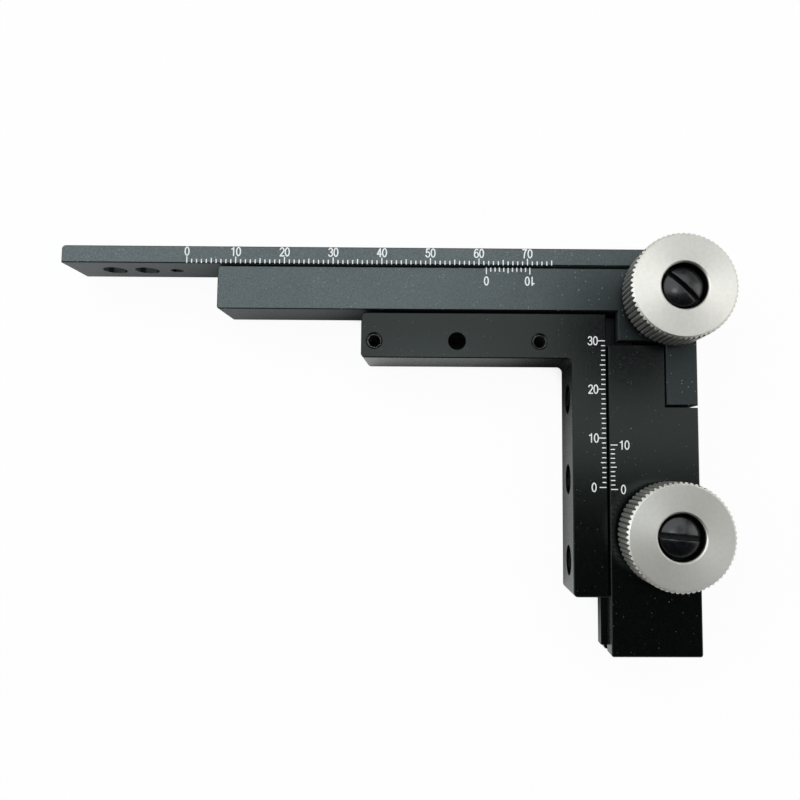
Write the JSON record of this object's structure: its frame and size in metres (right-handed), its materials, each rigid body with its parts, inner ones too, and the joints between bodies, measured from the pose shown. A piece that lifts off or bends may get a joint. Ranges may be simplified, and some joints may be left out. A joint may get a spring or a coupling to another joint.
{
  "type": "mechanical microscope stage",
  "caption": "Attachable mechanical stage for a microscope: an L-shaped bracket carries a rack-driven slide, and a scaled bar slides across it, each moved by a knurled knob.",
  "frame": {"origin": "on the axis of the bracket's middle hole, at the bracket's back face", "axes": "+X to the right along the long bar, +Y up the bracket's scale, +Z out of the knobs' faces"},
  "size_m": [0.1357, 0.0834, 0.0244],
  "materials": {
    "black_anodised_aluminium": "bead blasted, black anodised",
    "blackened_steel": "blackened steel, oiled",
    "bright_steel": "ground",
    "brass": "machined",
    "bright_aluminium": "turned face, straight knurl",
    "nylon": "turned nylon"
  },
  "bodies": {
    "bracket": {"stage_bracket": "black_anodised_aluminium", "y_rail": "blackened_steel", "y_rack": "brass", "y_rail_screws": "blackened_steel", "y_rail_washers": "blackened_steel", "y_rack_screws": "blackened_steel"},
    "y_carriage": {"y_slide_block": "black_anodised_aluminium", "y_front_bush": "brass", "y_rear_bush": "brass", "y_rear_cover": "black_anodised_aluminium", "y_cover_screws": "blackened_steel", "y_stop_screw": "blackened_steel", "x_guide_body": "black_anodised_aluminium", "carriage_screws": "blackened_steel", "x_front_bush": "brass", "x_rear_bush": "brass", "x_rear_cover": "black_anodised_aluminium", "x_cover_screws": "blackened_steel", "x_stop_screw": "blackened_steel"},
    "y_knob": {"y_knob": "bright_aluminium", "y_knob_screw": "blackened_steel", "y_pinion_shaft": "bright_steel", "y_pinion": "brass", "y_drag_washer": "nylon"},
    "x_knob": {"x_knob": "bright_aluminium", "x_knob_screw": "blackened_steel", "x_pinion_shaft": "bright_steel", "x_pinion": "brass", "x_drag_washer": "nylon"},
    "x_bar": {"x_slide_bar": "black_anodised_aluminium", "x_rail": "blackened_steel", "x_rack": "brass", "x_rail_screws": "blackened_steel", "x_rack_screws": "blackened_steel"}
  },
  "joints": [
    {"name": "y_slide", "type": "slide", "parent": "bracket", "child": "y_carriage", "axis": [0, 1, 0], "range_m": [-0.0005, 0.0304]},
    {"name": "x_slide", "type": "slide", "parent": "y_carriage", "child": "x_bar", "axis": [1, 0, 0], "range_m": [-0.0084, 0.0616]},
    {"name": "y_knob_turn", "type": "hinge", "parent": "y_carriage", "child": "y_knob", "pos_m": [0.04245, -0.0389, 0.0162], "axis": [0, 0, 1], "range_deg": [-7.3, 435.7]},
    {"name": "x_knob_turn", "type": "hinge", "parent": "y_carriage", "child": "x_knob", "pos_m": [0.04395, 0.00945, 0.0162], "axis": [0, 0, 1], "range_deg": [-882.6, 120.5]}
  ],
  "couplings": [
    {"joint": "y_knob_turn", "follows": "y_slide", "rad_per_m": 250},
    {"joint": "x_knob_turn", "follows": "x_slide", "rad_per_m": -250}
  ]
}
